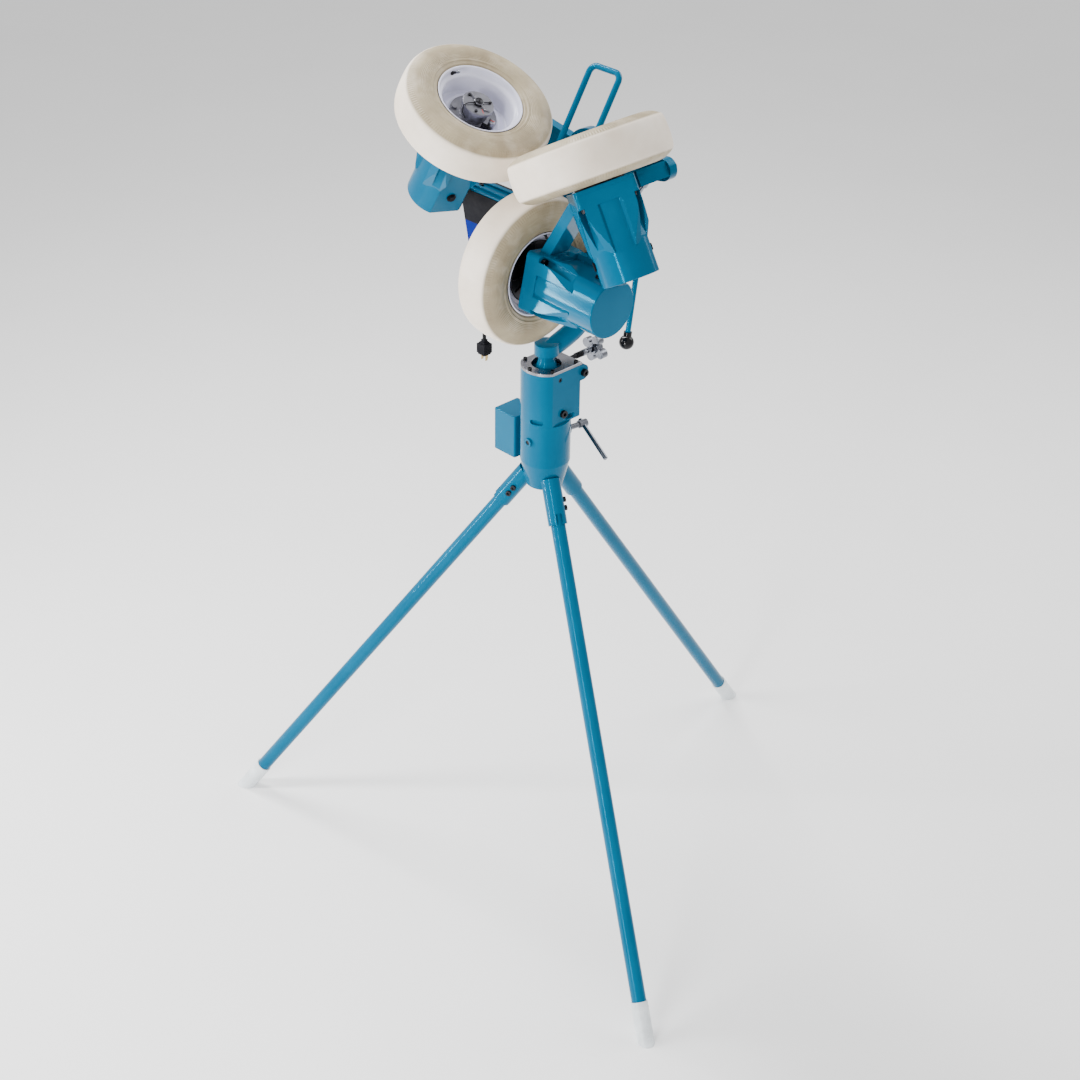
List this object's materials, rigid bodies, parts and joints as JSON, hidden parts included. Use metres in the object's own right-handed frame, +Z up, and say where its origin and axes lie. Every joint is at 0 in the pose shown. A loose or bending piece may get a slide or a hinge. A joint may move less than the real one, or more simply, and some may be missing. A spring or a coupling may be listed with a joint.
{
  "type": "baseball pitching machine",
  "caption": "Wheeled ball-pitching head with motor-driven tyres round a feed tube, on a ball joint and swivel over a splayed tubular tripod.",
  "frame": {"origin": "on the floor, midway between the outermost points of the machine", "axes": "+Z up, +Y to the operator's side at the back (balls leave toward -Y), +X to the side of the lower wheel's motor"},
  "size_m": [1.2963, 1.1691, 1.8325],
  "materials": {
    "teal_paint": "gloss enamel",
    "cream_tyre": "cream pneumatic tyre rubber",
    "white_rim": "gloss white enamel",
    "grey_casting": "cast",
    "steel": "machined",
    "chrome": "plated",
    "black_steel": "black oxide",
    "black_casting": "satin black",
    "ferrite": "sintered",
    "black_plastic": "moulded",
    "brass": "machined",
    "white_plastic": "nylon",
    "clear_rubber": "pale translucent",
    "black_gloss": "moulded",
    "blue_plastic": "moulded",
    "panel_plastic": "moulded",
    "black_rubber": "soft"
  },
  "bodies": {
    "tripod": {"tripod_hub": "teal_paint", "swivel_bushings": "brass", "hub_screws": "black_steel", "side_box": "teal_paint", "side_box_cover": "teal_paint", "leg_tube_front": "teal_paint", "leg_tube_right": "teal_paint", "leg_tube_left": "teal_paint", "foot_caps": "clear_rubber"},
    "lock": {"lock_screw": "chrome", "lock_bar": "chrome"},
    "column": {"swivel_column": "teal_paint", "ball_plate": "steel", "column_screws": "black_steel", "swivel_spindle": "steel"},
    "clamp": {"clamp_screw": "black_steel", "clamp_star": "chrome"},
    "liner": {"ball_liner": "white_plastic"},
    "wheel_left": {"tyre_left": "cream_tyre", "rim_left": "white_rim", "wheel_hub_left": "grey_casting", "rotor_left": "steel"},
    "wheel_right": {"tyre_right": "cream_tyre", "rim_right": "white_rim", "wheel_hub_right": "grey_casting", "rotor_right": "steel"},
    "wheel_lower": {"tyre_lower": "cream_tyre", "rim_lower": "white_rim", "wheel_hub_lower": "grey_casting", "rotor_lower": "steel"},
    "dial_left": {"speed_dial_left": "black_gloss"},
    "dial_lower": {"speed_dial_lower": "black_gloss"},
    "dial_right": {"speed_dial_right": "black_gloss"},
    "rocker": {"power_rocker": "black_gloss"},
    "head": {"aiming_knob": "black_gloss", "aiming_rod": "teal_paint", "ball_stud": "teal_paint", "box_bracket": "teal_paint", "brace_rod": "chrome", "carry_handle": "teal_paint", "control_box": "black_plastic", "control_box_tray": "blue_plastic", "control_panel": "panel_plastic", "cord_gland": "black_plastic", "cross_web": "teal_paint", "feed_chute": "teal_paint", "gooseneck": "teal_paint", "head_screws": "black_steel", "motor_bearings": "chrome", "motor_brackets": "teal_paint", "motor_brushes": "black_plastic", "motor_end_bells": "black_casting", "motor_housing_left": "teal_paint", "motor_housing_lower": "teal_paint", "motor_housing_right": "teal_paint", "motor_magnets": "ferrite", "plug_blades": "brass", "plug_body": "black_rubber", "power_cord": "black_rubber", "rear_spider": "teal_paint"}
  },
  "joints": [
    {"name": "swivel", "type": "hinge", "parent": "tripod", "child": "column", "pos_m": [-0.0243, -0.1615, 1.103], "axis": [0, 0, 1], "range_deg": [-180, 180]},
    {"name": "ball_pitch", "type": "hinge", "parent": "column", "child": "liner", "pos_m": [-0.0243, -0.1615, 1.2], "axis": [1, 0, 0], "range_deg": [-12, 12]},
    {"name": "ball_roll", "type": "hinge", "parent": "liner", "child": "head", "pos_m": [-0.0243, -0.1615, 1.2], "axis": [0, 1, 0], "range_deg": [-12, 12]},
    {"name": "clamp_turn", "type": "hinge", "parent": "column", "child": "clamp", "pos_m": [-0.0243, -0.0215, 1.214], "axis": [0, 1, 0], "range_deg": [-180, 180]},
    {"name": "lock_turn", "type": "hinge", "parent": "tripod", "child": "lock", "pos_m": [-0.00772, -0.06745, 1.057], "axis": [0.1736, 0.9848, 0], "range_deg": [-180, 180]},
    {"name": "spin_left", "type": "hinge", "parent": "head", "child": "wheel_left", "pos_m": [-0.21148, -0.191, 1.7245], "axis": [-0.5, 0, -0.866], "continuous": true},
    {"name": "spin_right", "type": "hinge", "parent": "head", "child": "wheel_right", "pos_m": [0.11588, -0.191, 1.7245], "axis": [0.5, 0, -0.866], "continuous": true},
    {"name": "spin_lower", "type": "hinge", "parent": "head", "child": "wheel_lower", "pos_m": [-0.05571, -0.191, 1.44117], "axis": [0.9991, 0, -0.0419], "continuous": true},
    {"name": "dial_left_turn", "type": "hinge", "parent": "head", "child": "dial_left", "pos_m": [-0.2883, -0.06293, 1.46939], "axis": [0, 0.9848, 0.1736], "range_deg": [-135, 135]},
    {"name": "dial_lower_turn", "type": "hinge", "parent": "head", "child": "dial_lower", "pos_m": [-0.2223, -0.06293, 1.46939], "axis": [0, 0.9848, 0.1736], "range_deg": [-135, 135]},
    {"name": "dial_right_turn", "type": "hinge", "parent": "head", "child": "dial_right", "pos_m": [-0.1563, -0.06293, 1.46939], "axis": [0, 0.9848, 0.1736], "range_deg": [-135, 135]},
    {"name": "rocker_tilt", "type": "hinge", "parent": "head", "child": "rocker", "pos_m": [-0.2223, -0.05657, 1.42177], "axis": [1, 0, 0], "range_deg": [0, 12.5]}
  ]
}
